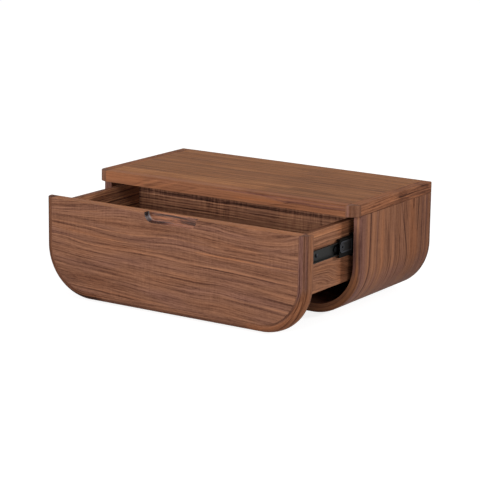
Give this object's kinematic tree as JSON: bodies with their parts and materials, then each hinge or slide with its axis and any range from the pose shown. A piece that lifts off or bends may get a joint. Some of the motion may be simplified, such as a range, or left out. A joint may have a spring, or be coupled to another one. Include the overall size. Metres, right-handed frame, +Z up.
{
  "type": "floating nightstand",
  "caption": "Wall-hung nightstand: a U-shaped case with round lower corners, a lipped top and a drawer on full-extension ball slides, with a finger pocket in its rounded-over front.",
  "frame": {"origin": "centre of the wall cleat's back face, on the wall plane", "axes": "+X along the nightstand's width, to the right seen from the front; +Y into the wall, so the drawer opens towards -Y; +Z up"},
  "size_m": [0.61, 0.4775, 0.226],
  "materials": {
    "walnut_face": "walnut veneer, satin lacquer",
    "walnut_solid": "solid walnut, satin lacquer",
    "drawer_wood": "walnut, matt lacquer",
    "back_board": "walnut-faced board, matt",
    "cleat_wood": "plain hardwood, unfinished",
    "black_steel": "black zinc, satin",
    "black_plastic": "moulded, satin",
    "cage_steel": "zinc",
    "screw_steel": "black zinc"
  },
  "bodies": {
    "case": {"top_panel": "walnut_face", "top_front_lipping": "walnut_solid", "top_corner_left": "walnut_solid", "top_corner_right": "walnut_solid", "top_side_lipping_left": "walnut_solid", "top_side_lipping_right": "walnut_solid", "case_shell": "walnut_face", "case_front_lipping": "walnut_solid", "back_panel": "back_board", "case_cleat": "cleat_wood", "wall_cleat": "cleat_wood", "dowel_left_1": "cleat_wood", "dowel_left_2": "cleat_wood", "dowel_left_3": "cleat_wood", "dowel_right_1": "cleat_wood", "dowel_right_2": "cleat_wood", "dowel_right_3": "cleat_wood", "cleat_screw_1": "screw_steel", "cleat_screw_2": "screw_steel", "cleat_screw_3": "screw_steel", "cleat_screw_4": "screw_steel", "cabinet_member_left": "black_steel", "cabinet_member_right": "black_steel", "cabinet_screw_1_left": "screw_steel", "cabinet_screw_2_left": "screw_steel", "cabinet_screw_3_left": "screw_steel", "cabinet_screw_1_right": "screw_steel", "cabinet_screw_2_right": "screw_steel", "cabinet_screw_3_right": "screw_steel"},
    "outer_cage_left": {"outer_cage_left": "cage_steel"},
    "outer_cage_right": {"outer_cage_right": "cage_steel"},
    "intermediate_left": {"intermediate_member_left": "black_steel", "front_stop_left": "black_plastic"},
    "intermediate_right": {"intermediate_member_right": "black_steel", "front_stop_right": "black_plastic"},
    "inner_cage_left": {"inner_cage_left": "cage_steel"},
    "inner_cage_right": {"inner_cage_right": "cage_steel"},
    "drawer": {"drawer_front_panel": "walnut_face", "drawer_front_lipping": "walnut_solid", "front_screw_1": "screw_steel", "front_screw_2": "screw_steel", "front_screw_3": "screw_steel", "front_screw_4": "screw_steel", "drawer_box_front": "drawer_wood", "drawer_box_back": "drawer_wood", "drawer_side_left": "drawer_wood", "drawer_side_right": "drawer_wood", "drawer_bottom": "drawer_wood", "drawer_member_left": "black_steel", "drawer_member_right": "black_steel", "release_lever_left": "black_plastic", "release_lever_right": "black_plastic", "drawer_member_screw_1_left": "screw_steel", "drawer_member_screw_2_left": "screw_steel", "drawer_member_screw_1_right": "screw_steel", "drawer_member_screw_2_right": "screw_steel"}
  },
  "joints": [
    {"name": "outer_slide_right", "type": "slide", "parent": "case", "child": "intermediate_right", "axis": [0, -1, 0], "range_m": [-0.0475, 0.0775]},
    {"name": "outer_slide_left", "type": "slide", "parent": "case", "child": "intermediate_left", "axis": [0, -1, 0], "range_m": [-0.0475, 0.0775]},
    {"name": "drawer_slide", "type": "slide", "parent": "intermediate_right", "child": "drawer", "axis": [0, -1, 0], "range_m": [-0.125, 0]},
    {"name": "outer_cage_slide_right", "type": "slide", "parent": "case", "child": "outer_cage_right", "axis": [0, -1, 0], "range_m": [-0.02375, 0.03875]},
    {"name": "outer_cage_slide_left", "type": "slide", "parent": "case", "child": "outer_cage_left", "axis": [0, -1, 0], "range_m": [-0.02375, 0.03875]},
    {"name": "inner_cage_slide_right", "type": "slide", "parent": "intermediate_right", "child": "inner_cage_right", "axis": [0, -1, 0], "range_m": [-0.0625, 0]},
    {"name": "inner_cage_slide_left", "type": "slide", "parent": "intermediate_left", "child": "inner_cage_left", "axis": [0, -1, 0], "range_m": [-0.0625, 0]}
  ],
  "couplings": [
    {"joint": "outer_slide_left", "follows": "outer_slide_right", "ratio": 1},
    {"joint": "outer_cage_slide_right", "follows": "outer_slide_right", "ratio": 0.5},
    {"joint": "outer_cage_slide_left", "follows": "outer_slide_right", "ratio": 0.5},
    {"joint": "inner_cage_slide_right", "follows": "drawer_slide", "ratio": 0.5},
    {"joint": "inner_cage_slide_left", "follows": "drawer_slide", "ratio": 0.5}
  ]
}
